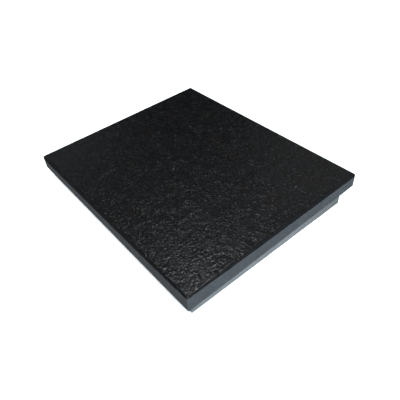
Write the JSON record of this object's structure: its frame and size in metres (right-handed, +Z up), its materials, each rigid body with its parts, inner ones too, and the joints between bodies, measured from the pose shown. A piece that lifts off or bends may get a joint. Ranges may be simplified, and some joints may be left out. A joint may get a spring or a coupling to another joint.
{
  "type": "granite slab",
  "caption": "Rectangular black granite slab with eased edges for tooling and skiving leather on, on a smaller grey backing pad.",
  "frame": {"origin": "on the bench, at the centre of the bottom of the whole part's box, which is under the middle of the slab", "axes": "+Z up, out of the work face; X along the slab's long side; +Y towards the side where the slab overhangs its pad most and is picked up"},
  "size_m": [0.3048, 0.254, 0.0333],
  "materials": {
    "granite": "black granite, fine-pebbled semi-gloss face, grey sawn sides",
    "pad": "matt mid-grey dense sheet with a knife-cut edge; that it is rubber is a guess"
  },
  "bodies": {
    "pad": {"backing_pad": "pad"},
    "slab": {"granite_slab": "granite"}
  },
  "joints": [
    {"name": "slab_lift", "type": "slide", "parent": "pad", "child": "slab", "axis": [0, 0, 1], "range_m": [0, 0.1]}
  ]
}
